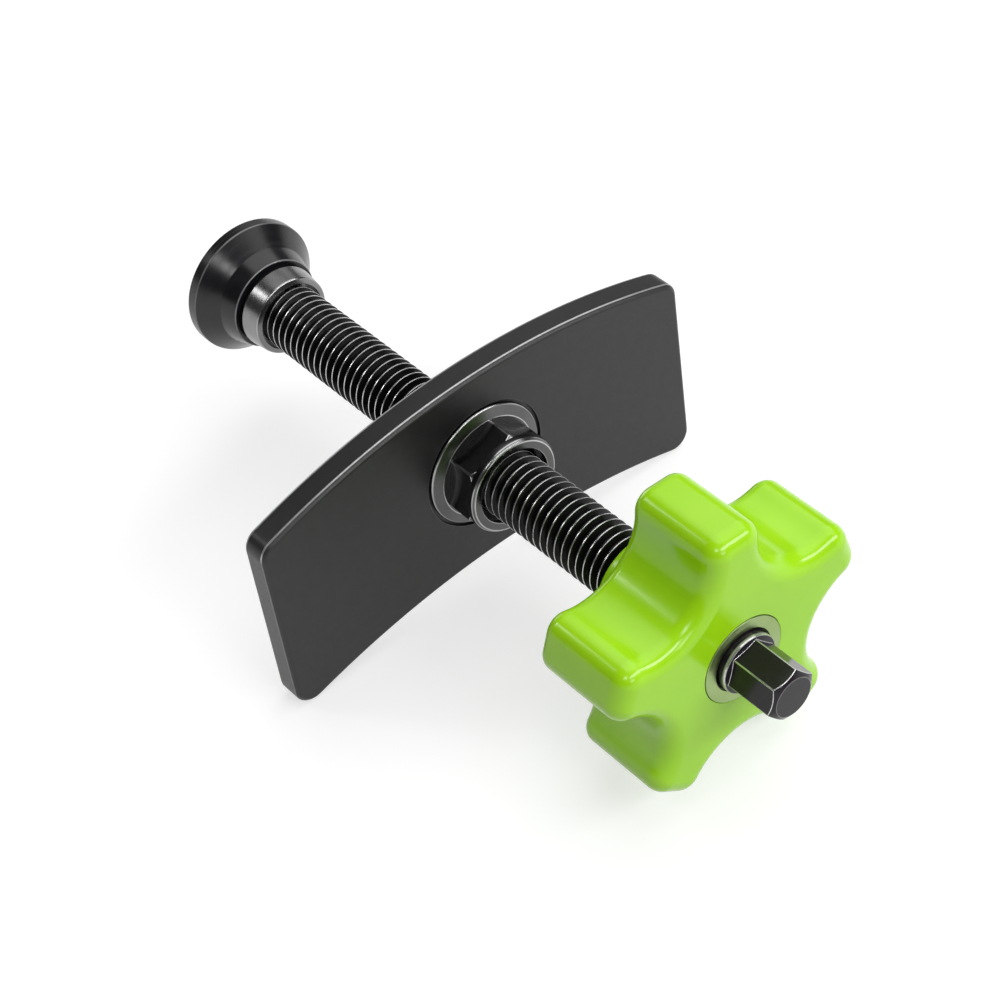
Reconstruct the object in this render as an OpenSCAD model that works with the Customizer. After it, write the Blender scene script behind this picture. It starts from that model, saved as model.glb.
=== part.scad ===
// Brake caliper piston tool: a curved backing plate with a nut, a long screw, a handle and a swivel disc.
// The screw lies along Y, with the handle at -Y and the press disc at +Y. Z points up the plate.
// The origin is on the screw's axis, in the plate's face on the handle's side.

/* [Plate] */
// Length of the plate, end to end
plate_len = 117.2; // [90:0.2:140]
// Thickness of the plate
plate_t = 7.2; // [5:0.1:10]
// Radius of the convex upper edge
upper_r = 168.3; // [120:0.1:260]
// Height of the upper edge above the screw, at the middle
upper_rise = 25.4; // [21:0.1:34]
// Radius of the concave lower edge
lower_r = 183.3; // [120:0.1:260]
// Depth of the lower edge below the screw, at the middle
lower_drop = 26.5; // [21:0.1:34]
// Radius of the four corners
corner_r = 4.5; // [2:0.1:8]
// Bevel along all the plate's edges
plate_bevel = 0.8; // [0.3:0.1:1.5]
// Depth of the round seat for the nut's flange
seat_depth = 0.8; // [0.4:0.1:2]
// Gap around the flange in its seat
seat_gap = 0.8; // [0.3:0.1:1.5]

/* [Nut] */
// Diameter of the flange
flange_d = 30.3; // [27:0.1:34]
// Height of the flange's upright rim
flange_rim = 0.9; // [0.5:0.1:2]
// Diameter at the top of the flange's slope
slope_d = 25; // [24.9:0.1:26.5]
// Height of the flange's slope
slope_h = 0.9; // [0.5:0.1:2]
// Width of the hexagon across its flats
nut_af = 21.4; // [20:0.1:21.5]
// Height of the hexagon
nut_h = 7.3; // [5:0.1:12]
// Bevel at the hexagon's upper corners
nut_bevel = 0.8; // [0.3:0.1:1.5]
// Direction of one corner of the hexagon
nut_turn = 19; // [0:1:60]
// Diameter of the round collar above the hexagon
top_d = 23.7; // [21:0.1:26]
// Height of the round collar
top_h = 2; // [1:0.1:4]
// Bevel of the round collar
top_bevel = 0.6; // [0.2:0.1:0.9]
// Gap between the screw and the mouth of the nut
mouth_gap = 1.35; // [0.6:0.05:1.6]
// Depth of the mouth of the nut
mouth_depth = 1.4; // [0.6:0.1:3]
// Wall of the nut where it passes through the plate
spigot_wall = 3; // [2:0.1:5]

/* [Lock ring] */
// Diameter of the ring that holds the nut in the plate
ring_d = 29; // [26:0.1:34]
// Thickness of the ring
ring_t = 3; // [2:0.1:5]
// Bevel of the ring's edge
ring_bevel = 0.6; // [0.2:0.1:1]
// Length of the nut past the ring
spigot_proud = 0.4; // [0.2:0.1:1.5]

/* [Screw] */
// Outside diameter of the thread
screw_d = 15.88; // [14.5:0.01:17]
// Running clearance of the screw and the swivel
run_gap = 0.05; // [0.02:0.01:0.1]
// Distance from the plate's face to the end of the thread at the disc
thread_reach = 75.5; // [60:0.5:95]
// Diameter of the plain journal in the disc
journal_d = 12; // [10:0.1:13]
// Step from the thread down to the shank in the handle
shank_step = 0.44; // [0.2:0.02:1]
// Length of the shank in front of the insert
shank_proud = 1.9; // [1:0.1:4]
// Bevel where the shank meets the drive end
shank_bevel = 0.8; // [0.3:0.1:1.2]
// Width of the drive end across its flats
drive_af = 11.1; // [9:0.1:12.5]
// Length of the drive end
drive_len = 12.4; // [8:0.1:20]
// Height of the sloped neck at the drive end's root
drive_neck = 0.6; // [0.2:0.1:1.5]
// Distance of the neck's edges from the drive end's corners and flats
drive_lip = 0.15; // [0.05:0.05:0.25]
// Diameter of the flat at the drive end's tip
drive_tip_d = 9.5; // [7:0.1:9.9]
// Length of the bevel at the drive end's tip
drive_bevel = 1.1; // [0.6:0.1:2]
// Direction of one corner of the drive end
drive_turn = 12; // [0:1:60]

/* [Swivel collar] */
// Diameter of the collar at the disc's side
collar_d = 21.2; // [19.5:0.1:24]
// Diameter of the collar at the plate's side
collar_front_d = 20; // [19:0.1:22]
// Length of the collar around the thread
collar_skirt = 2.7; // [1.5:0.1:5]
// Slope of the collar's front face
collar_slope = 0.5; // [0.2:0.1:1]
// Gap between the thread and the collar
collar_gap = 0.7; // [0.3:0.05:1]
// Length of the collar on the journal
collar_web = 2.5; // [1.5:0.1:5]

/* [Swivel washer] */
// Diameter of the washer
washer_d = 19.4; // [17:0.1:21]
// Thickness of the washer
washer_t = 1.3; // [0.8:0.1:3]
// Free play of the swivel along the screw
swivel_play = 0.1; // [0.05:0.01:0.3]

/* [Press disc] */
// Diameter of the disc
disc_d = 33.8; // [30:0.1:45]
// Thickness of the disc's upright rim
disc_rim = 2.9; // [1.5:0.1:5]
// Length of the disc's cone
cone_len = 4.7; // [3:0.1:8]
// Diameter of the neck where it meets the cone
neck_d = 25.5; // [24:0.1:28]
// Diameter of the neck's free end
neck_end_d = 23; // [21:0.1:24]
// Length of the neck
neck_len = 4.3; // [3:0.1:8]
// Bevel of the disc's edges
disc_bevel = 0.3; // [0.1:0.05:0.6]
// Diameter of the recess in the disc's face
recess_d = 18; // [17.6:0.1:21]
// Depth of the recess in the disc's face
recess_depth = 4.6; // [4:0.1:6]
// Distance of the journal's tip below the disc's face
tip_sink = 1.2; // [0.5:0.1:1.6]

/* [Circlip] */
// Thickness of the circlip
clip_t = 1.2; // [0.8:0.1:1.6]
// Depth of the circlip's groove
clip_groove = 0.6; // [0.3:0.05:1]
// Width of the circlip's band
clip_band = 2.2; // [1.6:0.1:2.6]
// Opening of the circlip
clip_mouth = 5; // [3:0.1:7]

/* [Handle] */
// Distance from the plate's face to the handle's front face
knob_place = 82.1; // [75:0.1:110]
// Diameter of the handle over its lobes
knob_d = 67.8; // [60:0.1:90]
// Thickness of the handle
knob_t = 24.8; // [18:0.1:35]
// Diameter of the handle at the bottom of its valleys
valley_d = 44.2; // [40:0.1:50]
// Rounding of each lobe's corners
lobe_round = 4.8; // [3.5:0.1:5.5]
// Width of each lobe's flat tip
lobe_flat = 4.6; // [2:0.1:6]
// Rounding of the front edge
front_round = 4.4; // [1:0.1:5]
// Rounding of the back edge
back_round = 3; // [1:0.1:5]
// Diameter of the boss behind the handle
boss_d = 22.8; // [20.5:0.1:28]
// Length of the boss
boss_len = 7.4; // [4:0.1:12]
// Rounding of the boss's edge
boss_round = 0.8; // [0.3:0.1:1.5]
// Gap between the thread and the boss
boss_gap = 0.3; // [0.2:0.05:1]
// Direction of the first lobe
knob_turn = 87.2; // [0:0.1:360]

/* [Handle insert] */
// Diameter of the insert's flange
insert_d = 20.7; // [20:0.1:24]
// Thickness of the insert's flange
insert_flange = 3; // [2:0.1:5]
// Gap around the insert's flange
insert_gap = 0.12; // [0.05:0.01:0.3]
// Height of the insert's flange above the handle's face
insert_proud = 0.1; // [0.05:0.01:0.5]
// Wall of the insert's six-sided barrel
insert_wall = 1.4; // [1:0.1:1.6]
// Bevel of the insert's bore
insert_bevel = 0.15; // [0.1:0.05:0.4]
// Diameter of the cross pin
pin_d = 4; // [3:0.1:5]
// Distance of each end of the pin inside the barrel
pin_sink = 0.3; // [0.1:0.1:0.6]

/* [Hidden] */
$fn = 96;
LOBES = 5;
LOBE_STEP = 360 / LOBES;
ROUND_STEPS = 4;
TIP_STEPS = 4;
VALLEY_STEPS = 6;
// Direction of one corner of the insert's barrel
INSERT_TURN = 30;
// Cuts run past the faces they open by this much
PAST = 1;
// Each corner arc of the plate crosses its edges by this much, so that it never just touches them
CORNER_LAP = 0.03;

screw_r = screw_d / 2;
bore_r = screw_r + run_gap;
spigot_r = bore_r + spigot_wall;
journal_r = journal_d / 2;
shank_r = screw_r - shank_step;
nut_corner_r = nut_af / 2 / cos(30);
drive_corner_r = drive_af / 2 / cos(30);

// Places along the screw
rim_y = seat_depth - flange_rim;
slope_y = rim_y - slope_h;
hex_y = slope_y - nut_h;
nut_top_y = hex_y - top_h;
spigot_end_y = plate_t + ring_t + spigot_proud;
collar_end_y = thread_reach + collar_web;
washer_y = collar_end_y + swivel_play;
disc_y = washer_y + washer_t;
cone_y = disc_y + neck_len;
rim_start_y = cone_y + cone_len;
face_y = rim_start_y + disc_rim;
recess_y = face_y - recess_depth;
clip_y = recess_y + swivel_play;
knob_front_y = -knob_place;
knob_back_y = knob_front_y + knob_t;
insert_front_y = knob_front_y - insert_proud;
shank_end_y = insert_front_y - shank_proud;
drive_tip_y = shank_end_y - drive_len;
pin_y = (knob_front_y + knob_back_y) / 2;

// Handle's outline: each lobe has two corner arcs that run straight into the valley arcs
corner_at = [knob_d / 2 - lobe_round, lobe_flat / 2];
valley_dir = [cos(LOBE_STEP / 2), sin(LOBE_STEP / 2)];
reach = lobe_round - valley_d / 2;
valley_place = (corner_at * corner_at - reach * reach) / 2 / (corner_at * valley_dir + reach);
valley_at = valley_place * valley_dir;
valley_r = valley_place - valley_d / 2;
flank = atan2(valley_at.y - corner_at.y, valley_at.x - corner_at.x);

function arc(centre, r, from, to, steps) =
    [for (k = [0 : steps]) let (a = from + (to - from) * k / steps) centre + r * [cos(a), sin(a)]];

function half_lobe(inset) = concat(
    arc(corner_at, lobe_round - inset, 0, flank, TIP_STEPS),
    [for (k = [1 : VALLEY_STEPS])
        let (a = flank + (LOBE_STEP / 2 - flank) * k / VALLEY_STEPS)
        valley_at - (valley_r + inset) * [cos(a), sin(a)]]);

function lobe(inset) = let (half = half_lobe(inset)) concat(
    [for (k = [len(half) - 2 : -1 : 0]) [half[k].x, -half[k].y]],
    half);

function turned_point(p, a) = [p.x * cos(a) - p.y * sin(a), p.x * sin(a) + p.y * cos(a)];

function knob_ring(y, inset) =
    [for (i = [0 : LOBES - 1], p = lobe(inset))
        let (q = turned_point(p, knob_turn + i * LOBE_STEP)) [q.x, y, q.y]];

// Revolves a profile of [radius, y] points about the screw's axis
module turned(profile) {
    rotate([-90, 0, 0]) rotate_extrude() polygon(profile);
}

// A round bar or bore along the screw's axis
module bar(r, from, to) {
    translate([0, from, 0]) rotate([-90, 0, 0]) cylinder(r = r, h = to - from);
}

// A six-sided bar along the screw's axis
module hex_bar(af, from, to, turn) {
    translate([0, to, 0]) rotate([90, 0, 0])
        linear_extrude(to - from) rotate(turn) circle(r = af / 2 / cos(30), $fn = 6);
}

// A disc with bevelled edges, as thick as the plate
module plate_disc(r) {
    turned([[0, 0], [r - plate_bevel, 0], [r, plate_bevel], [r, plate_t - plate_bevel],
            [r - plate_bevel, plate_t], [0, plate_t]]);
}

// The waste beyond one corner of the plate, from the end face to the direction where the arc meets the edge
module corner_waste(centre, direction) {
    span = 4 * corner_r;
    middle = direction / 2;
    difference() {
        translate([0, plate_t + PAST, 0]) rotate([90, 0, 0]) linear_extrude(plate_t + 2 * PAST)
            polygon([centre, centre + [span, 0], centre + 2 * span * [cos(middle), sin(middle)],
                     centre + span * [cos(direction), sin(direction)]]);
        translate([centre.x, 0, centre.y]) plate_disc(corner_r);
    }
}

module backing_plate() {
    half = plate_len / 2;
    upper_z = upper_rise - upper_r;
    lower_z = -lower_drop - lower_r;
    corner_in = corner_r - CORNER_LAP;
    corner_x = half - corner_in;
    upper_corner = [corner_x, upper_z + sqrt(pow(upper_r - corner_in, 2) - corner_x * corner_x)];
    lower_corner = [corner_x, lower_z + sqrt(pow(lower_r + corner_in, 2) - corner_x * corner_x)];
    upper_turn = atan2(upper_corner.y - upper_z, corner_x);
    lower_turn = atan2(lower_z - lower_corner.y, -corner_x);
    flare = lower_r + plate_bevel + PAST;
    color("#1c1c1e") difference() {
        intersection() {
            translate([0, 0, upper_z]) plate_disc(upper_r);
            translate([0, 0, -upper_r]) linear_extrude(2 * upper_r)
                polygon([[plate_bevel - half, 0], [half - plate_bevel, 0], [half, plate_bevel],
                         [half, plate_t - plate_bevel], [half - plate_bevel, plate_t],
                         [plate_bevel - half, plate_t], [-half, plate_t - plate_bevel],
                         [-half, plate_bevel]]);
        }
        translate([0, 0, lower_z])
            turned([[0, -PAST], [flare, -PAST], [lower_r, plate_bevel], [lower_r, plate_t - plate_bevel],
                    [flare, plate_t + PAST], [0, plate_t + PAST]]);
        for (side = [0, 1]) mirror([side, 0, 0]) {
            corner_waste(upper_corner, upper_turn);
            corner_waste(lower_corner, lower_turn);
        }
        bar(spigot_r, -PAST, plate_t + PAST);
        bar(flange_d / 2 + seat_gap, -PAST, seat_depth);
    }
}

module flange_nut() {
    flange_r = flange_d / 2;
    top_r = top_d / 2;
    mouth_r = screw_r + mouth_gap;
    color("#26262a") difference() {
        union() {
            turned([[0, slope_y], [slope_d / 2, slope_y], [flange_r, rim_y], [flange_r, seat_depth],
                    [spigot_r, seat_depth], [spigot_r, spigot_end_y], [0, spigot_end_y]]);
            intersection() {
                hex_bar(nut_af, hex_y - PAST, slope_y, nut_turn);
                turned([[0, hex_y], [nut_corner_r - nut_bevel, hex_y],
                        [nut_corner_r + PAST, hex_y + nut_bevel + PAST],
                        [nut_corner_r + PAST, slope_y + PAST], [0, slope_y + PAST]]);
            }
            turned([[0, nut_top_y], [top_r - top_bevel, nut_top_y], [top_r, nut_top_y + top_bevel],
                    [top_r, hex_y], [0, hex_y]]);
        }
        bar(bore_r, nut_top_y - PAST, spigot_end_y + PAST);
        turned([[0, nut_top_y - PAST], [mouth_r, nut_top_y - PAST], [mouth_r, nut_top_y + mouth_depth],
                [bore_r, nut_top_y + mouth_depth + mouth_gap], [0, nut_top_y + mouth_depth + mouth_gap]]);
    }
}

module lock_ring() {
    ring_r = ring_d / 2;
    ring_end_y = plate_t + ring_t;
    color("#2a2a2e") turned([[spigot_r, plate_t], [ring_r, plate_t], [ring_r, ring_end_y - ring_bevel],
                             [ring_r - ring_bevel, ring_end_y], [spigot_r, ring_end_y]]);
}

module spindle() {
    groove_r = journal_r - clip_groove;
    tip_r = drive_tip_d / 2;
    tip_y = face_y - tip_sink;
    guard_r = drive_corner_r + PAST;
    guard_y = drive_tip_y + drive_bevel * (guard_r - tip_r) / (drive_corner_r - tip_r);
    root_y = shank_end_y + PAST;
    color("#1a1a1c") difference() {
        union() {
            turned([[0, shank_end_y - drive_neck], [drive_af / 2 - drive_lip, shank_end_y - drive_neck],
                    [drive_corner_r + drive_lip, shank_end_y],
                    [shank_r - shank_bevel, shank_end_y], [shank_r, shank_end_y + shank_bevel],
                    [shank_r, knob_back_y], [screw_r, knob_back_y], [screw_r, thread_reach],
                    [journal_r, thread_reach], [journal_r, clip_y], [groove_r, clip_y],
                    [groove_r, clip_y + clip_t], [journal_r, clip_y + clip_t],
                    [journal_r, tip_y - disc_bevel], [journal_r - disc_bevel, tip_y], [0, tip_y]]);
            intersection() {
                hex_bar(drive_af, drive_tip_y - PAST, root_y, drive_turn);
                turned([[0, drive_tip_y], [tip_r, drive_tip_y], [guard_r, guard_y],
                        [guard_r, root_y + PAST], [0, root_y + PAST]]);
            }
        }
        cross_hole();
    }
}

// The hole for the cross pin, through the shank and the insert's barrel
module cross_hole() {
    translate([0, pin_y, 0]) rotate([0, 90, 0]) cylinder(d = pin_d, h = insert_d + PAST, center = true);
}

module swivel_collar() {
    skirt_y = thread_reach - collar_skirt;
    mouth_r = screw_r + collar_gap;
    color("#8d8d90") turned([[journal_r, thread_reach], [mouth_r, thread_reach],
                             [mouth_r, skirt_y - collar_slope], [collar_front_d / 2, skirt_y],
                             [collar_d / 2, collar_end_y], [journal_r, collar_end_y]]);
}

module swivel_washer() {
    inner_r = journal_r + run_gap;
    color("#0c0c0d") turned([[inner_r, washer_y], [washer_d / 2, washer_y], [washer_d / 2, disc_y],
                             [inner_r, disc_y]]);
}

module press_disc() {
    inner_r = journal_r + run_gap;
    disc_r = disc_d / 2;
    neck_end_r = neck_end_d / 2;
    color("#242427") turned([[inner_r, disc_y], [neck_end_r - disc_bevel, disc_y],
                             [neck_end_r, disc_y + disc_bevel], [neck_d / 2, cone_y], [disc_r, rim_start_y],
                             [disc_r, face_y - disc_bevel], [disc_r - disc_bevel, face_y],
                             [recess_d / 2, face_y], [recess_d / 2, recess_y], [inner_r, recess_y]]);
}

module swivel_circlip() {
    groove_r = journal_r - clip_groove;
    clip_r = groove_r + clip_band;
    color("#55555a") difference() {
        turned([[groove_r, clip_y], [clip_r, clip_y],
                [clip_r, clip_y + clip_t], [groove_r, clip_y + clip_t]]);
        translate([0, clip_y - PAST, -clip_mouth / 2]) cube([clip_r + PAST, clip_t + 2 * PAST, clip_mouth]);
    }
}

module knob_lobes() {
    front = [for (k = [0 : ROUND_STEPS]) let (a = 90 - 90 * k / ROUND_STEPS)
        [knob_front_y + front_round * (1 - sin(a)), front_round * (1 - cos(a))]];
    back = [for (k = [0 : ROUND_STEPS]) let (a = 90 * k / ROUND_STEPS)
        [knob_back_y - back_round * (1 - sin(a)), back_round * (1 - cos(a))]];
    levels = concat(front, back);
    rings = [for (level = levels) knob_ring(level[0], level[1])];
    count = len(rings[0]);
    sides = [for (i = [0 : len(rings) - 2], j = [0 : count - 1]) let (n = (j + 1) % count)
        [i * count + j, i * count + n, (i + 1) * count + n, (i + 1) * count + j]];
    caps = [[for (j = [count - 1 : -1 : 0]) j], [for (j = [0 : count - 1]) (len(rings) - 1) * count + j]];
    polyhedron([for (ring = rings) each ring], concat(sides, caps));
}

module knob_body() {
    boss_r = boss_d / 2;
    boss_end_y = knob_back_y + boss_len;
    flange_back_y = insert_front_y + insert_flange;
    color("#9bdc33") difference() {
        union() {
            knob_lobes();
            turned([[0, pin_y], [boss_r, pin_y], [boss_r, boss_end_y - boss_round],
                    [boss_r - boss_round, boss_end_y], [0, boss_end_y]]);
        }
        bar(screw_r + boss_gap, pin_y, boss_end_y + PAST);
        hex_bar(2 * (shank_r + insert_wall), knob_front_y - PAST, knob_back_y, INSERT_TURN);
        bar(insert_d / 2 + insert_gap, knob_front_y - PAST, flange_back_y);
    }
}

module knob_insert() {
    color("#b4b4b8") difference() {
        union() {
            bar(insert_d / 2, insert_front_y, insert_front_y + insert_flange);
            hex_bar(2 * (shank_r + insert_wall), insert_front_y + insert_flange, knob_back_y, INSERT_TURN);
        }
        bar(shank_r, insert_front_y - PAST, knob_back_y + PAST);
        turned([[0, insert_front_y - PAST], [shank_r + insert_bevel + PAST, insert_front_y - PAST],
                [shank_r, insert_front_y + insert_bevel], [0, insert_front_y + insert_bevel]]);
        cross_hole();
    }
}

module knob_pin() {
    length = 2 * (shank_r + insert_wall - pin_sink);
    color("#7a7a7e") translate([0, pin_y, 0]) rotate([0, 90, 0])
        cylinder(d = pin_d, h = length, center = true);
}

backing_plate();
flange_nut();
lock_ring();
spindle();
swivel_collar();
swivel_washer();
press_disc();
swivel_circlip();
knob_body();
knob_insert();
knob_pin();
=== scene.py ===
import math

import bmesh
import bpy
from mathutils import Matrix, Vector


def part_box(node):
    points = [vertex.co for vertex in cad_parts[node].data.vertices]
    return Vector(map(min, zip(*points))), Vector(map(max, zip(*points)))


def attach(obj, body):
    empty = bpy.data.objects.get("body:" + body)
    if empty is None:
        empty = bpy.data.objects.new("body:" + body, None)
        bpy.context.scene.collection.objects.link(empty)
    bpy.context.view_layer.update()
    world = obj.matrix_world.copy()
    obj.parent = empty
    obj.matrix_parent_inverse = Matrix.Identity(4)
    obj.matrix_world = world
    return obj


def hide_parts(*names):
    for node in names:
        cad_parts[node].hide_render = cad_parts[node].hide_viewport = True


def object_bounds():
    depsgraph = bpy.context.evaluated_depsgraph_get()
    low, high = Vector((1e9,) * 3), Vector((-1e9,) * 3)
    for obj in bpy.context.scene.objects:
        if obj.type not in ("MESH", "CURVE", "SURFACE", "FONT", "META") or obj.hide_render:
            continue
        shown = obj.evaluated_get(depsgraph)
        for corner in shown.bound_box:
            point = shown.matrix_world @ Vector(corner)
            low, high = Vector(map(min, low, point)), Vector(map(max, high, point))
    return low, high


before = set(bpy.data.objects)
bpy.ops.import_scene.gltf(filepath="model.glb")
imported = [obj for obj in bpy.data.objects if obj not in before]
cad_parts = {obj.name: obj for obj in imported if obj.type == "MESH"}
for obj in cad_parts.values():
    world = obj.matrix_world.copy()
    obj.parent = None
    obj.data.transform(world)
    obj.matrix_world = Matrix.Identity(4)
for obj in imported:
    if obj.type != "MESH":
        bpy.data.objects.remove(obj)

# The box of the solids, whose lowest point sets the floor's level
CAD_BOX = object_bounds()
MM = 0.001


def span(node):
    """Lowest and highest corner of a solid, in millimetres."""
    low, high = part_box(node)
    return low / MM, high / MM


# Corners of the solids' boxes, which give places along the screw and outer sizes
plate_low, plate_high = span("backing_plate")
nut_low, nut_high = span("flange_nut")
ring_high = span("lock_ring")[1]
spindle_low, spindle_high = span("spindle")
collar_low, collar_high = span("swivel_collar")
washer_low, washer_high = span("swivel_washer")
disc_low, disc_high = span("press_disc")
clip_low, clip_high = span("swivel_circlip")
knob_low, knob_high = span("knob_body")
insert_low, insert_high = span("knob_insert")

# Sizes of the pieces, in millimetres and degrees; what a box shows is taken from it

# Backing plate
PLATE_T = plate_high.y
PLATE_HALF = plate_high.x
UPPER_R = 168.3
UPPER_RISE = plate_high.z
LOWER_R = 183.3
LOWER_DROP = 26.5
CORNER_R = 4.5
PLATE_BEVEL = 0.8
# Share of the bevel by which each of its corners is eased
BEVEL_EASE = 0.5
# Wear of the plate's ends and of its back edge, where the upper front edge has 1
END_WEAR = 0.4
BACK_WEAR = 0.6
SEAT_DEPTH = 0.8
SEAT_R = 15.95
SEAT_EDGE = 0.2

# Flange nut
FLANGE_R = nut_high.x
FLANGE_RIM_Y = -0.1
SLOPE_R = 12.5
SLOPE_Y = -1.0
NUT_APOTHEM = 10.7
NUT_CORE_R = 10.3
NUT_BEVEL = 0.8
NUT_LEAST_BEVEL = 0.15
NUT_CORNER = 0.45
NUT_TURN = 19
HEX_Y = -8.3
# How far the hexagon reaches into the core, and the round collar into the hexagon
HEX_SUNK = 0.2
COLLAR_SUNK = 0.1
TOP_R = 11.85
TOP_BEVEL = 0.6
MOUTH_R = 9.29
MOUTH_DEPTH = 1.4
BORE_R = 7.99
SPIGOT_R = 10.99

# Spindle: thread, journal and drive end
SCREW_R = 7.94
THREAD_PITCH = 2.309
THREAD_DEPTH = 1.3
THREAD_END_Y = 75.5
# Half widths of the crest and the root, as shares of the pitch
CREST_HALF = 0.055
ROOT_HALF = 0.08
# (share of the pitch, height) that the rounding beside a crest and beside a root takes up
CREST_ROUND = (0.02, 0.1)
ROOT_ROUND = (0.03, 0.12)
# How far a crest's edges lie below its middle, and a root's edges above its own
CROWN = 0.02
# The thread has this many turns fewer than fit between the handle's back and the thread's end
TURNS_LESS = 2
# The crest of the last turn lies this share of the pitch before the thread's end
LAST_SHARE = 0.55
JOURNAL_R = 6.0
# How far the journal reaches into the thread
JOURNAL_SUNK = 1.0
CLIP_GROOVE = 0.6
CLIP_HALF_MOUTH = 2.5
SHANK_R = 7.5
SHANK_END_Y = -84.1
SHANK_ROUND = 0.9
STUB_R = 7.1
STUB_Y = -81.2
DRIVE_APOTHEM = 5.55
DRIVE_TIP_R = 4.75
DRIVE_BEVEL = 1.1
DRIVE_NECK = 0.25
DRIVE_LIP = 0.15
DRIVE_CORNER = 0.26
DRIVE_TURN = 12

# Swivel collar
COLLAR_R = collar_high.x
COLLAR_FRONT_R = 10.0
COLLAR_MOUTH_R = 8.64
COLLAR_SKIRT_Y = 72.8

# Press disc and washer, which run on the journal
SWIVEL_R = JOURNAL_R + 0.05
DISC_R = disc_high.x
NECK_R = 12.75
NECK_END_R = 11.5
CONE_Y = 83.7
RIM_Y = 88.4
RECESS_R = 9.0
RECESS_Y = 86.7

# Handle
KNOB_BACK_Y = insert_high.y
KNOB_R = 33.9
VALLEY_R = 22.1
LOBE_ROUND = 4.8
LOBE_HALF = 2.3
FRONT_ROUND = 4.4
BACK_ROUND = 3.0
BOSS_R = 11.4
BOSS_ROUND = 0.8
BOSS_BORE_R = 8.24
KNOB_TURN = 87.2
LOBES = 5

# Insert in the handle
INSERT_R = 10.35
INSERT_FLANGE = 3.0
INSERT_GAP = 0.12
INSERT_APOTHEM = 8.9
INSERT_CORNER = 0.4
INSERT_TURN = 30
INSERT_BACK_Y = KNOB_BACK_Y - 0.05

# How finely round forms are divided
ROUND_TURNS = 192
ARC_STEPS = 4
FLAT_STEPS = 10
INSERT_FLAT_STEPS = 24
ROUND_STEPS = 10
THREAD_STEPS = 96
CLIP_STEPS = 90
PLATE_CURVE_STEPS, PLATE_END_STEPS, PLATE_CORNER_STEPS = 44, 14, 8
LOBE_STEPS, VALLEY_STEPS = 12, 18

# The most of a side that the rounding of one corner takes up
MOST_OF_SIDE = 0.49
# How far past its first and last rounded corner an open profile runs
LEAD = 4
# Points closer than this, in metres, become one
MERGE = 1e-7
# A radius this close to the limit, in millimetres, is on the hexagon's wall
WALL_CLOSE = 1e-6
SHARP_ANGLE = math.radians(32)
# The vertex attribute that says how much an edge is rubbed bright
WEAR = "wear"


# Mesh helpers

def polar(r, angle, y, wear=0):
    """A point at a radius and an angle about the screw's axis, with its wear."""
    return (r * math.cos(angle), y, r * math.sin(angle), wear)


def softened(corners, closed=True):
    """Rounds a profile of (radius, y, cut, wear) corners: each arc starts at the cut's distance from its
    corner. The points are (radius, y, wear), and the wear, 0 where it isn't given, is full in mid-arc."""
    count = len(corners)
    out = []
    for i, (r, y, cut, *wear) in enumerate(corners):
        at_end = not closed and i in (0, count - 1)
        if cut == 0 or at_end:
            out.append((r, y, 0))
            continue
        most = wear[0] if wear else 0
        here = Vector((r, y))
        arms = []
        for j in (i - 1, (i + 1) % count):
            arm = Vector(corners[j][:2]) - here
            arms.append(here + arm.normalized() * min(cut, arm.length * MOST_OF_SIDE))
        for k in range(ARC_STEPS + 1):
            t = k / ARC_STEPS
            p = arms[0] * (1 - t) ** 2 + here * (2 * t * (1 - t)) + arms[1] * t ** 2
            out.append((p.x, p.y, most * 4 * t * (1 - t)))
    return out


def solid(name, rings, closed=True, wrap=True):
    """A mesh skinned over rings of (x, y, z, wear) points in millimetres. Closed joins the last ring to the
    first, and wrap the end of each ring to its start."""
    bm = bmesh.new()
    layer = bm.verts.layers.float.new(WEAR)

    def vertex(point):
        made = bm.verts.new([c * MM for c in point[:3]])
        made[layer] = point[3]
        return made

    grid = [[vertex(p) for p in ring] for ring in rings]
    rows = len(grid) if closed else len(grid) - 1
    columns = len(grid[0]) if wrap else len(grid[0]) - 1
    for i in range(rows):
        above = grid[(i + 1) % len(grid)]
        for j in range(columns):
            k = (j + 1) % len(above)
            bm.faces.new((grid[i][j], grid[i][k], above[k], above[j]))
    if not wrap:
        bm.faces.new([row[0] for row in grid])
        bm.faces.new([row[-1] for row in reversed(grid)])
    return finished(name, bm)


def finished(name, bm):
    """Turns a bmesh into a smooth-shaded object with crisp edges where its faces turn sharply."""
    bmesh.ops.remove_doubles(bm, verts=bm.verts, dist=MERGE)
    bmesh.ops.dissolve_degenerate(bm, edges=bm.edges, dist=MERGE)
    bmesh.ops.recalc_face_normals(bm, faces=bm.faces)
    mesh = bpy.data.meshes.new(name)
    bm.to_mesh(mesh)
    bm.free()
    mesh.polygons.foreach_set("use_smooth", [True] * len(mesh.polygons))
    mesh.set_sharp_from_angle(angle=SHARP_ANGLE)
    piece = bpy.data.objects.new(name, mesh)
    bpy.context.scene.collection.objects.link(piece)
    normals = piece.modifiers.new("weighted_normals", "WEIGHTED_NORMAL")
    normals.keep_sharp = True
    return piece


def round_stations():
    """Evenly spaced angles all the way round, with no limit on the radius."""
    return [(math.tau * k / ROUND_TURNS, None, 0) for k in range(ROUND_TURNS)]


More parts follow.
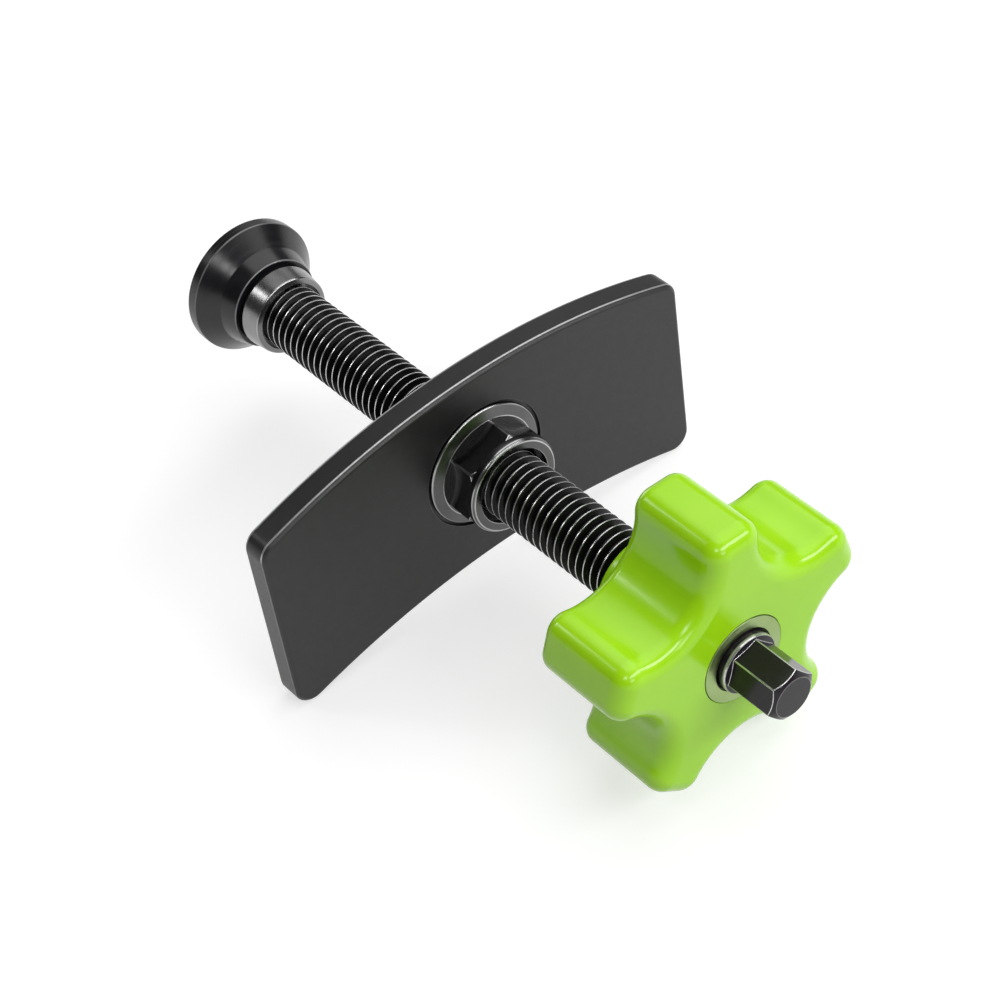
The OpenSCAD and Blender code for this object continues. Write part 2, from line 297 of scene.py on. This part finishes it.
def hex_stations(apothem, turn, corner_cut, flat_steps=FLAT_STEPS):
    """Angles round a hexagon with softened corners, each with the hexagon's radius and its wear there."""
    corner_r = apothem / math.cos(math.pi / 6)
    corners = [polar(corner_r, math.radians(turn + 60 * i), 0) for i in range(6)]
    outline = softened([(x, z, corner_cut, 1) for x, _, z, _ in corners])
    per_corner = ARC_STEPS + 1
    stations = []
    for i, (x, z, w) in enumerate(outline):
        stations.append((x, z, w))
        if i % per_corner == ARC_STEPS:
            nx, nz, _ = outline[(i + 1) % len(outline)]
            for k in range(1, flat_steps):
                t = k / flat_steps
                stations.append((x + (nx - x) * t, z + (nz - z) * t, 0))
    return [(math.atan2(z, x), math.hypot(x, z), w) for x, z, w in stations]


def lathe(name, profile, stations=None, closed=True):
    """Revolves a profile; it is a list of corners, or a function of the radius limit that returns one.
    Points at the limit lie on the hexagon's walls, and take the wear of its corners too."""
    stations = stations or round_stations()
    columns = []
    for angle, limit, corner_wear in stations:
        corners = profile(limit) if callable(profile) else profile
        column = []
        for r, y, wear in softened(corners, closed):
            on_wall = limit is not None and abs(r - limit) < WALL_CLOSE
            column.append(polar(r, angle, y, max(wear, corner_wear) if on_wall else wear))
        columns.append(column)
    return solid(name, list(map(list, zip(*columns))), closed)


# Pieces. A profile's corners are (radius, y, cut, wear), with small cuts where an edge is only broken.

def plate_ring(y, inset, wear):
    """The plate's outline at one depth, moved inwards by the inset; the upper edge is worn most."""
    upper_z = UPPER_RISE - UPPER_R
    lower_z = -LOWER_DROP - LOWER_R
    corner_x = PLATE_HALF - CORNER_R
    upper_corner = Vector((corner_x, upper_z + math.sqrt((UPPER_R - CORNER_R) ** 2 - corner_x ** 2)))
    lower_corner = Vector((corner_x, lower_z + math.sqrt((LOWER_R + CORNER_R) ** 2 - corner_x ** 2)))
    upper_turn = math.atan2(upper_corner.y - upper_z, corner_x)
    lower_turn = math.atan2(lower_corner.y - lower_z, corner_x)
    r = CORNER_R - inset
    half = []
    for k in range(PLATE_CURVE_STEPS):
        a = math.pi / 2 + (upper_turn - math.pi / 2) * k / PLATE_CURVE_STEPS
        half.append((math.cos(a) * (UPPER_R - inset), upper_z + math.sin(a) * (UPPER_R - inset)))
    for k in range(PLATE_CORNER_STEPS):
        a = upper_turn * (1 - k / PLATE_CORNER_STEPS)
        half.append((upper_corner.x + r * math.cos(a), upper_corner.y + r * math.sin(a)))
    for k in range(PLATE_END_STEPS):
        t = k / PLATE_END_STEPS
        half.append((PLATE_HALF - inset, upper_corner.y + (lower_corner.y - upper_corner.y) * t))
    for k in range(PLATE_CORNER_STEPS):
        a = (lower_turn - math.pi) * k / PLATE_CORNER_STEPS
        half.append((lower_corner.x + r * math.cos(a), lower_corner.y + r * math.sin(a)))
    for k in range(PLATE_CURVE_STEPS + 1):
        a = lower_turn + (math.pi / 2 - lower_turn) * k / PLATE_CURVE_STEPS
        half.append((math.cos(a) * (LOWER_R + inset), lower_z + math.sin(a) * (LOWER_R + inset)))
    outline = half + [(-x, z) for x, z in reversed(half[1:-1])]
    return [(x, y, z, wear * (1 if z > upper_corner.y else END_WEAR)) for x, z in outline]


def matched_circle(ring, r, y, wear):
    """A circle with one point in the direction of each point of a ring."""
    return [polar(r, math.atan2(p[2], p[0]), y, wear) for p in ring]


def bevel_levels(face_y, inward, bevel, wear):
    """(y, inset, wear) levels over a bevelled edge with both corners eased, and the outer one worn."""
    ease = bevel * BEVEL_EASE
    lead = bevel + LEAD
    corners = [(lead, 0, 0), (bevel, 0, ease), (0, bevel, ease), (0, lead, 0)]
    path = softened(corners, closed=False)[1:-1]
    outer_start = ARC_STEPS + 1
    worn = (outer_start + 2, outer_start + 3)
    return [(face_y + inward * y, inset, wear if i in worn else 0) for i, (inset, y, _) in enumerate(path)]


def make_plate():
    front = bevel_levels(plate_low.y, 1, PLATE_BEVEL, 1)
    back = bevel_levels(PLATE_T, -1, PLATE_BEVEL, BACK_WEAR)
    rings = [plate_ring(*level) for level in front + back[::-1]]
    hole = softened([(SPIGOT_R + LEAD, PLATE_T, 0), (SPIGOT_R, PLATE_T, SEAT_EDGE), (SPIGOT_R, SEAT_DEPTH, 0),
                     (SEAT_R, SEAT_DEPTH, 0), (SEAT_R, plate_low.y, SEAT_EDGE, 0.3),
                     (SEAT_R + LEAD, plate_low.y, 0)], closed=False)[1:-1]
    rings += [matched_circle(rings[0], *level) for level in hole]
    return solid("plate_body", rings)


def make_nut():
    """The turned part of the nut: flange, core, round collar and the neck through the plate."""
    collar_y = HEX_Y + COLLAR_SUNK
    mouth_y = nut_low.y + MOUTH_DEPTH
    return lathe("nut_body",
                 [(BORE_R, nut_high.y, 0.3), (SPIGOT_R, nut_high.y, 0.3), (SPIGOT_R, SEAT_DEPTH, 0),
                  (FLANGE_R, SEAT_DEPTH, 0.1), (FLANGE_R, FLANGE_RIM_Y, 0.45, 0.5),
                  (SLOPE_R, SLOPE_Y, 0.15, 0.8), (NUT_CORE_R, SLOPE_Y, 0), (NUT_CORE_R, collar_y, 0),
                  (TOP_R, collar_y, 0.1, 0.5), (TOP_R, nut_low.y + TOP_BEVEL, 0.25, 0.6),
                  (TOP_R - TOP_BEVEL, nut_low.y, 0.22, 0.8), (MOUTH_R, nut_low.y, 0.25, 0.5),
                  (MOUTH_R, mouth_y, 0), (BORE_R, mouth_y + MOUTH_R - BORE_R, 0)])


def make_nut_hexagon():
    chamfer_r = NUT_APOTHEM / math.cos(math.pi / 6) - NUT_BEVEL
    inner_r = NUT_CORE_R - HEX_SUNK

    def profile(limit):
        rise = max(NUT_LEAST_BEVEL, limit - chamfer_r)
        return [(inner_r, SLOPE_Y, 0), (limit, SLOPE_Y, 0.12, 0.3), (limit, HEX_Y + rise, 0.2, 0.9),
                (limit - rise, HEX_Y, 0.05), (inner_r, HEX_Y, 0)]
    return lathe("nut_hexagon", profile, hex_stations(NUT_APOTHEM, NUT_TURN, NUT_CORNER))


def make_lock_ring():
    return lathe("lock_ring_body", [(SPIGOT_R, PLATE_T, 0), (ring_high.x, PLATE_T, 0.15),
                                    (ring_high.x, ring_high.y, 0.7, 0.5), (SPIGOT_R, ring_high.y, 0.25)])


def make_drive_end():
    """The shank in the handle, the round stub in front of it, and the hexagon with its bevelled tip."""
    corner_r = DRIVE_APOTHEM / math.cos(math.pi / 6)
    neck_in = DRIVE_APOTHEM - DRIVE_LIP
    neck_out = corner_r + DRIVE_LIP

    def profile(limit):
        tip_y = spindle_low.y + DRIVE_BEVEL * (limit - DRIVE_TIP_R) / (corner_r - DRIVE_TIP_R)
        root_y = SHANK_END_Y - DRIVE_NECK * (neck_out - limit) / (neck_out - neck_in)
        return [(0, spindle_low.y, 0), (DRIVE_TIP_R, spindle_low.y, 0.12, 0.3), (limit, tip_y, 0.15, 1),
                (limit, root_y, 0.1, 1), (neck_out, SHANK_END_Y, 0.1),
                (STUB_R, SHANK_END_Y, SHANK_ROUND, 1), (STUB_R, STUB_Y, 0.1),
                (SHANK_R, STUB_Y, 0), (SHANK_R, KNOB_BACK_Y, 0), (0, KNOB_BACK_Y, 0)]
    stations = hex_stations(DRIVE_APOTHEM, DRIVE_TURN, DRIVE_CORNER)
    return lathe("spindle_drive_end", profile, stations, closed=False)


def thread_section():
    """(share of the pitch, radius, wear) along one turn of the thread, from root to root."""
    root_r = SCREW_R - THREAD_DEPTH
    root_start = 0.5 - ROOT_HALF
    half = [(CREST_HALF, SCREW_R - CROWN, 1), (CREST_HALF + CREST_ROUND[0], SCREW_R - CREST_ROUND[1], 0),
            (root_start - ROOT_ROUND[0], root_r + ROOT_ROUND[1], 0), (root_start, root_r + CROWN, 0)]
    return ([(-0.5, root_r, 0)] + [(-share, r, wear) for share, r, wear in reversed(half)]
            + [(0, SCREW_R, 1)] + half)


def make_thread():
    """A right-hand thread: one section swept along the helix, each turn sharing its edge with the next."""
    section = thread_section()
    turns = math.floor((THREAD_END_Y - KNOB_BACK_Y) / THREAD_PITCH) - TURNS_LESS
    start_y = THREAD_END_Y - THREAD_PITCH * (turns + LAST_SHARE)
    last = turns * THREAD_STEPS
    bm = bmesh.new()
    layer = bm.verts.layers.float.new(WEAR)

    def vertex(k, share, r, wear):
        angle = math.tau * k / THREAD_STEPS
        y = start_y + THREAD_PITCH * (k / THREAD_STEPS + share)
        made = bm.verts.new((r * math.sin(angle) * MM, y * MM, r * math.cos(angle) * MM))
        made[layer] = wear
        return made

    roots = [vertex(k, *section[0]) for k in range(last + THREAD_STEPS + 1)]

    def strip(k):
        return [roots[k]] + [vertex(k, *s) for s in section[1:]] + [roots[k + THREAD_STEPS]]

    strips = [strip(k) for k in range(last + 1)]
    for here, ahead in zip(strips, strips[1:]):
        for j in range(len(here) - 1):
            bm.faces.new((here[j], ahead[j], ahead[j + 1], here[j + 1]))
    ends = [(strips[0][::-1] + roots[1:THREAD_STEPS], start_y - THREAD_PITCH),
            (strips[-1] + roots[last + 1:last + THREAD_STEPS][::-1], THREAD_END_Y)]
    for loop, y in ends:
        hub = bm.verts.new((0, y * MM, 0))
        for a, b in zip(loop, loop[1:] + loop[:1]):
            bm.faces.new((a, b, hub))
    return finished("spindle_thread", bm)


def make_journal():
    groove_r = JOURNAL_R - CLIP_GROOVE
    start_y = THREAD_END_Y - JOURNAL_SUNK
    return lathe("spindle_journal",
                 [(0, start_y, 0), (JOURNAL_R, start_y, 0), (JOURNAL_R, clip_low.y, 0.1),
                  (groove_r, clip_low.y, 0), (groove_r, clip_high.y, 0), (JOURNAL_R, clip_high.y, 0.1),
                  (JOURNAL_R, spindle_high.y, 0.4), (0, spindle_high.y, 0)], closed=False)


def make_collar():
    return lathe("swivel_collar_body",
                 [(JOURNAL_R, THREAD_END_Y, 0), (COLLAR_MOUTH_R, THREAD_END_Y, 0),
                  (COLLAR_MOUTH_R, collar_low.y, 0.15, 0.4), (COLLAR_FRONT_R, COLLAR_SKIRT_Y, 0.3, 0.6),
                  (COLLAR_R, collar_high.y, 0.25, 0.5), (JOURNAL_R, collar_high.y, 0)])


def make_washer():
    return lathe("swivel_washer_body",
                 [(SWIVEL_R, washer_low.y, 0), (washer_high.x, washer_low.y, 0.2),
                  (washer_high.x, washer_high.y, 0.2), (SWIVEL_R, washer_high.y, 0)])


def make_disc():
    return lathe("press_disc_body",
                 [(SWIVEL_R, disc_low.y, 0.15), (NECK_END_R, disc_low.y, 0.3, 0.7), (NECK_R, CONE_Y, 0.25),
                  (DISC_R, RIM_Y, 0.3, 0.5), (DISC_R, disc_high.y, 0.4, 0.4),
                  (RECESS_R, disc_high.y, 0.3, 0.3), (RECESS_R, RECESS_Y, 0.4), (SWIVEL_R, RECESS_Y, 0.15)])


def make_circlip():
    """An open spring ring, with its mouth on the +X side."""
    groove_r = JOURNAL_R - CLIP_GROOVE
    clip_r = clip_high.z
    start = math.asin(CLIP_HALF_MOUTH / clip_r)
    profile = softened([(groove_r, clip_low.y, 0.1), (clip_r, clip_low.y, 0.15),
                        (clip_r, clip_high.y, 0.15), (groove_r, clip_high.y, 0.1)])
    angles = [start + (math.tau - 2 * start) * k / CLIP_STEPS for k in range(CLIP_STEPS + 1)]
    rings = [[polar(r, a, y) for a in angles] for r, y, _ in profile]
    return solid("swivel_circlip_body", rings, wrap=False)


def knob_outline(inset):
    """The handle's five-lobed outline, moved inwards by the inset."""
    step = math.tau / LOBES
    corner = Vector((KNOB_R - LOBE_ROUND, LOBE_HALF))
    towards = Vector((math.cos(step / 2), math.sin(step / 2)))
    reach = LOBE_ROUND - VALLEY_R
    place = (corner.length_squared - reach ** 2) / 2 / (corner.dot(towards) + reach)
    valley = towards * place
    valley_r = place - VALLEY_R
    flank = math.atan2(valley.y - corner.y, valley.x - corner.x)
    half = []
    for k in range(LOBE_STEPS + 1):
        a = flank * k / LOBE_STEPS
        half.append(corner + (LOBE_ROUND - inset) * Vector((math.cos(a), math.sin(a))))
    for k in range(1, VALLEY_STEPS + 1):
        a = flank + (step / 2 - flank) * k / VALLEY_STEPS
        half.append(valley - (valley_r + inset) * Vector((math.cos(a), math.sin(a))))
    lobe = [Vector((p.x, -p.y)) for p in reversed(half[:-1])] + half
    points = []
    for i in range(LOBES):
        turn = Matrix.Rotation(math.radians(KNOB_TURN) + step * i, 2)
        points += [turn @ p for p in lobe]
    return points


def knob_ring(y, inset):
    return [(p.x, y, p.y, 0) for p in knob_outline(inset)]


def quarter_round(face_y, inward, r):
    """(y, inset) levels from a face over a quarter round to the side."""
    angles = [math.pi / 2 * k / ROUND_STEPS for k in range(ROUND_STEPS + 1)]
    return [(face_y + inward * r * (1 - math.cos(a)), r * (1 - math.sin(a))) for a in angles]


def make_knob():
    front = quarter_round(knob_low.y, 1, FRONT_ROUND)
    back = quarter_round(KNOB_BACK_Y, -1, BACK_ROUND)
    rings = [knob_ring(y, inset) for y, inset in front + back[::-1]]
    pocket_r = INSERT_R + INSERT_GAP
    hole = softened([(BOSS_R + LEAD, KNOB_BACK_Y, 0), (BOSS_R, KNOB_BACK_Y, 0.5),
                     (BOSS_R, knob_high.y, BOSS_ROUND), (BOSS_BORE_R, knob_high.y, 0.4),
                     (BOSS_BORE_R, KNOB_BACK_Y, 0), (pocket_r, KNOB_BACK_Y, 0),
                     (pocket_r, knob_low.y, 0.22), (pocket_r + LEAD, knob_low.y, 0)], closed=False)[1:-1]
    rings += [matched_circle(rings[0], *level) for level in hole]
    return solid("knob_grip", rings)


def make_insert():
    flange_back = insert_low.y + INSERT_FLANGE

    def profile(limit):
        return [(SHANK_R, insert_low.y, 0.2), (INSERT_R, insert_low.y, 0.18), (INSERT_R, flange_back, 0),
                (limit, flange_back, 0), (limit, INSERT_BACK_Y, 0.3), (SHANK_R, INSERT_BACK_Y, 0)]
    stations = hex_stations(INSERT_APOTHEM, INSERT_TURN, INSERT_CORNER, INSERT_FLAT_STEPS)
    return lathe("knob_insert_body", profile, stations)


# Materials

def grey(value):
    return (value, value, value)


BARE_METAL = grey(0.75)
# The range that noise mostly keeps to, which is spread over the whole range of a finish
NOISE_LOW, NOISE_HIGH = 0.3, 0.7
# How much larger than the grain the patches of tone, gloss and rubbing are
TONE_SIZE, GLOSS_SIZE, RUB_SIZE = 14, 5, 3
# The least share of its full rubbing that a worn edge has
LEAST_RUB = 0.75


class Nodes:
    """A material's node tree, with short calls for the nodes that the finishes share."""

    def __init__(self, name):
        self.material = bpy.data.materials.new(name)
        self.material.use_nodes = True
        self.tree = self.material.node_tree
        self.shader = self.tree.nodes["Principled BSDF"]
        self.place = self.tree.nodes.new("ShaderNodeTexCoord").outputs["Object"]

    def link(self, out, socket):
        self.tree.links.new(out, socket)

    def drive(self, name, out):
        self.link(out, self.shader.inputs[name])

    def set(self, name, value):
        self.shader.inputs[name].default_value = value

    def noise(self, size, detail=4.0, stretch=None):
        """Noise with features of about this size in millimetres, drawn out along the axes by stretch."""
        node = self.tree.nodes.new("ShaderNodeTexNoise")
        node.inputs["Scale"].default_value = 1 / (size * MM)
        node.inputs["Detail"].default_value = detail
        place = self.place
        if stretch:
            mapping = self.tree.nodes.new("ShaderNodeMapping")
            mapping.inputs["Scale"].default_value = stretch
            self.link(place, mapping.inputs["Vector"])
            place = mapping.outputs["Vector"]
        self.link(place, node.inputs["Vector"])
        return node.outputs["Fac"]

    def spread(self, value, low, high, start=NOISE_LOW, stop=NOISE_HIGH):
        """A value from low to high, as another one goes from start to stop."""
        node = self.tree.nodes.new("ShaderNodeMapRange")
        node.inputs["From Min"].default_value = start
        node.inputs["From Max"].default_value = stop
        node.inputs["To Min"].default_value = low
        node.inputs["To Max"].default_value = high
        self.link(value, node.inputs["Value"])
        return node.outputs["Result"]

    def tone(self, value, low, high):
        """A colour that goes with noise from a low to a high one."""
        node = self.tree.nodes.new("ShaderNodeValToRGB")
        stops = ((NOISE_LOW, low), (NOISE_HIGH, high))
        for point, (place, colour) in zip(node.color_ramp.elements, stops):
            point.position = place
            point.color = (*colour, 1)
        self.link(value, node.inputs["Fac"])
        return node.outputs["Color"]

    def combine(self, operation, a, b):
        node = self.tree.nodes.new("ShaderNodeMath")
        node.operation = operation
        self.link(a, node.inputs[0])
        self.link(b, node.inputs[1])
        return node.outputs["Value"]

    def seen(self):
        """1 for rays from the camera and for those that gloss and glass send on, 0 for soft light."""
        path = self.tree.nodes.new("ShaderNodeLightPath")
        total = path.outputs["Is Camera Ray"]
        for other in ("Is Glossy Ray", "Is Transmission Ray"):
            total = self.combine("MAXIMUM", total, path.outputs[other])
        return total

    def distance(self):
        """How far a point is from the origin, in metres."""
        node = self.tree.nodes.new("ShaderNodeVectorMath")
        node.operation = "LENGTH"
        self.link(self.place, node.inputs[0])
        return node.outputs["Value"]

    def attribute(self, name):
        node = self.tree.nodes.new("ShaderNodeAttribute")
        node.attribute_name = name
        return node.outputs["Fac"]

    def mix(self, share, colour, other):
        """A colour that goes over to another one by a share."""
        node = self.tree.nodes.new("ShaderNodeMix")
        node.data_type = "RGBA"
        self.link(share, node.inputs["Factor"])
        self.link(colour, node.inputs[6])
        node.inputs[7].default_value = (*other, 1)
        return node.outputs[2]

    def mix_value(self, share, value, other):
        """A number that goes over to another one by a share."""
        node = self.tree.nodes.new("ShaderNodeMix")
        self.link(share, node.inputs["Factor"])
        self.link(value, node.inputs[2])
        node.inputs[3].default_value = other
        return node.outputs[0]

    def bump(self, value, height):
        """Relief of a height in millimetres."""
        node = self.tree.nodes.new("ShaderNodeBump")
        node.inputs["Distance"].default_value = height * MM
        self.link(value, node.inputs["Height"])
        self.drive("Normal", node.outputs["Normal"])


def finish_material(name, tones, grain, roughness, bump, rub=None, stretch=None, metallic=0.0, specular=0.5):
    """A finish whose tone follows broad noise, and whose gloss and relief follow finer noise.
    Rub is (share, roughness) of the bare metal that shows where the vertices say an edge is worn."""
    n = Nodes(name)
    colour = n.tone(n.noise(grain * TONE_SIZE), *tones)
    gloss = n.spread(n.noise(grain * GLOSS_SIZE, stretch=stretch), *roughness)
    n.set("Metallic", metallic)
    n.set("Specular IOR Level", specular)
    if rub:
        share, rub_gloss = rub
        patches = n.spread(n.noise(grain * RUB_SIZE), share * LEAST_RUB, share)
        mask = n.combine("MULTIPLY", n.attribute(WEAR), patches)
        colour = n.mix(mask, colour, BARE_METAL)
        gloss = n.mix_value(mask, gloss, rub_gloss)
        if not metallic:
            n.drive("Metallic", mask)
    n.drive("Base Color", colour)
    n.drive("Roughness", gloss)
    n.bump(n.noise(grain, detail=3.0, stretch=stretch), bump)
    return n.material


# Noise drawn out round the screw's axis, as a lathe leaves it
LATHE_LINES = (0.04, 1, 0.04)

# Each finish: grain and bump in millimetres, and the ranges of its tone and roughness
FINISHES = {
    "green_plastic": dict(tones=((0.34, 0.71, 0.004), (0.37, 0.74, 0.007)), grain=0.9,
                          roughness=(0.17, 0.22), bump=0.003),
    "plate_paint": dict(tones=(grey(0.003), grey(0.006)), grain=0.25, roughness=(0.38, 0.44), bump=0.0008,
                        rub=(0.65, 0.16)),
    "polished_black": dict(tones=(grey(0.10), grey(0.12)), grain=0.4, roughness=(0.22, 0.27), bump=0.0005,
                           rub=(0.9, 0.15), metallic=1.0),
    "forged_black": dict(tones=(grey(0.09), grey(0.11)), grain=0.3, roughness=(0.17, 0.22), bump=0.0006,
                         rub=(0.9, 0.2), metallic=1.0),
    "black_steel": dict(tones=(grey(0.003), grey(0.006)), grain=0.3, roughness=(0.20, 0.27), bump=0.0008,
                        rub=(1.0, 0.26), specular=0.15),
    "polished_oxide": dict(tones=((0.012, 0.009, 0.013), (0.017, 0.013, 0.018)), grain=0.3,
                           roughness=(0.14, 0.18), bump=0.0005, rub=(1.0, 0.22), specular=0.25),
    "polished_steel": dict(tones=(grey(0.20), grey(0.25)), grain=0.3, roughness=(0.23, 0.25), bump=0.0002,
                           rub=(0.5, 0.12), stretch=LATHE_LINES, metallic=1.0),
    # The insert's steel is tinted green all over: a painted reflection of the green handle around it
    "insert_steel_painted_reflection": dict(tones=((0.27, 0.37, 0.14), (0.31, 0.41, 0.18)), grain=0.5,
                         roughness=(0.28, 0.34), bump=0.0008, metallic=1.0),
    "washer_plastic": dict(tones=(grey(0.002), grey(0.004)), grain=0.4, roughness=(0.5, 0.6), bump=0.003,
                           specular=0.35),
    "satin_black": dict(tones=((0.004, 0.004, 0.005), (0.008, 0.008, 0.010)), grain=0.25,
                        roughness=(0.22, 0.28), bump=0.001, rub=(0.5, 0.2), stretch=LATHE_LINES),
    "spring_steel": dict(tones=(grey(0.16), grey(0.24)), grain=0.4, roughness=(0.2, 0.32), bump=0.0015,
                         metallic=1.0),
}


def make_materials():
    return {name: finish_material(name, **finish) for name, finish in FINISHES.items()}


# The body, the solid and the slot of each piece, and its finish where that isn't the slot's

def dress(materials):
    pieces = [
        (make_plate(), "plate", "backing_plate", "plate_paint"),
        (make_nut(), "plate", "flange_nut", "polished_black"),
        (make_nut_hexagon(), "plate", "flange_nut", "polished_black", "forged_black"),
        (make_lock_ring(), "plate", "lock_ring", "black_steel"),
        (make_drive_end(), "screw", "spindle", "black_steel", "polished_oxide"),
        (make_thread(), "screw", "spindle", "black_steel"),
        (make_journal(), "screw", "spindle", "black_steel"),
        (make_collar(), "screw", "swivel_collar", "polished_steel"),
        (make_circlip(), "screw", "swivel_circlip", "spring_steel"),
        (make_knob(), "screw", "knob_body", "green_plastic"),
        # The insert's finish carries a painted green reflection of the handle
        (make_insert(), "screw", "knob_insert", "polished_steel", "insert_steel_painted_reflection"),
        (make_washer(), "disc", "swivel_washer", "washer_plastic"),
        (make_disc(), "disc", "press_disc", "satin_black"),
    ]
    for piece, body, node, slot, *finish in pieces:
        piece.data.materials.append(materials[finish[0] if finish else slot])
        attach(piece, body)
        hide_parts(node)
    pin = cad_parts["knob_pin"]
    pin.data.materials.clear()
    pin.data.materials.append(materials["spring_steel"])


# Studio: floor, world, lamps and camera

WHITE = (1, 1, 1, 1)
# How much of the floor's white is there without the lamps, near the object and far from it
FLOOR_GLOW = 0.58
WALL_GLOW = 0.8
# Where the glow starts to rise and where it is full, in metres from the origin
GLOW_START, GLOW_FULL = 0.3, 0.9
# The round floor and the wall it runs up into, in millimetres
FLOOR_R = 2400
WALL_HEIGHT = 330
WALL_BEND = 250
# The paper's tones, and the size of its patches in millimetres
PAPER_TONES = (grey(0.54), grey(0.56))
PAPER_GRAIN = 120
PAPER_ROUGHNESS = 0.9
WORLD_LIGHT = 0.08

# The camera that was fitted to the photograph: its axes, place in metres, and lens in millimetres
CAMERA_RIGHT = Vector((0.76247, -0.63647, -0.11638))
CAMERA_DOWN = Vector((-0.51596, -0.48957, -0.70293))
CAMERA_FORWARD = Vector((0.39042, 0.59601, -0.70168))
CAMERA_PLACE = (-0.22333, -0.34429, 0.39220)
CAMERA_LENS = 92.65
CAMERA_SENSOR = 36.0


def make_floor():
    """A round sheet of paper that bends up into a low wall, white by the lamps and by a glow of its own."""
    level = CAD_BOX[0].z / MM
    profile = [(0, level, 0), (FLOOR_R, level, WALL_BEND), (FLOOR_R, level + WALL_HEIGHT, 0)]
    floor = lathe("floor", profile, closed=False)
    floor.rotation_euler.x = math.pi / 2
    n = Nodes("floor_paper")
    n.drive("Base Color", n.tone(n.noise(PAPER_GRAIN, detail=2.0), *PAPER_TONES))
    n.set("Roughness", PAPER_ROUGHNESS)
    n.set("Specular IOR Level", 0.0)
    n.set("Emission Color", WHITE)
    glow = n.spread(n.distance(), FLOOR_GLOW, WALL_GLOW, GLOW_START, GLOW_FULL)
    n.drive("Emission Strength", n.combine("MULTIPLY", n.seen(), glow))
    floor.data.materials.append(n.material)


def make_world():
    world = bpy.data.worlds.new("studio")
    bpy.context.scene.world = world
    world.use_nodes = True
    background = world.node_tree.nodes["Background"]
    background.inputs["Color"].default_value = WHITE
    background.inputs["Strength"].default_value = WORLD_LIGHT


def soft_lamp(name, towards, distance, size, radiance, along=(0, 0, 1)):
    """A rectangular lamp in one direction from the object, facing it; radiance 1 is white.
    Its height runs along the given direction, as far as it can. Lengths are in metres."""
    lamp = bpy.data.lights.new(name, "AREA")
    lamp.shape = "RECTANGLE"
    lamp.size, lamp.size_y = size
    lamp.energy = radiance * math.pi * size[0] * size[1]
    rig = bpy.data.objects.new(name, lamp)
    back = Vector(towards).normalized()
    side = Vector(along).cross(back).normalized()
    turn = Matrix((side, back.cross(side), back)).transposed().to_4x4()
    rig.matrix_world = Matrix.Translation(back * distance) @ turn
    rig.visible_camera = False
    bpy.context.scene.collection.objects.link(rig)


def make_lamps():
    soft_lamp("overhead", (0.45, 0.05, 1.0), 1.3, (1.5, 1.5), 1.7, along=(0, 1, 0))
    soft_lamp("front_strip", (0.36, -0.74, 0.57), 1.1, (0.17, 1.15), 10.5, along=(0.85, 0.27, -0.25))
    soft_lamp("low_front", (-0.05, -0.93, 0.35), 1.2, (0.4, 0.22), 5.0)
    soft_lamp("camera_side", (-0.41, -0.59, 0.70), 1.2, (0.28, 0.24), 8.0)
    soft_lamp("back_left", (-0.45, 0.60, 0.66), 1.2, (0.18, 0.3), 8.0)
    soft_lamp("back_right", (0.45, 0.75, 0.38), 1.3, (0.9, 0.5), 0.6)
    soft_lamp("low_back", (0.10, 1.00, 0.15), 1.3, (0.6, 0.3), 4.5)


def make_camera():
    data = bpy.data.cameras.new("camera")
    data.sensor_width = CAMERA_SENSOR
    data.lens = CAMERA_LENS
    camera = bpy.data.objects.new("camera", data)
    turn = Matrix((CAMERA_RIGHT, -CAMERA_DOWN, -CAMERA_FORWARD)).transposed().to_4x4()
    camera.matrix_world = Matrix.Translation(CAMERA_PLACE) @ turn
    bpy.context.scene.collection.objects.link(camera)
    bpy.context.scene.camera = camera


make_camera()
dress(make_materials())
make_floor()
make_world()
make_lamps()
bpy.context.scene.view_settings.view_transform = "Standard"
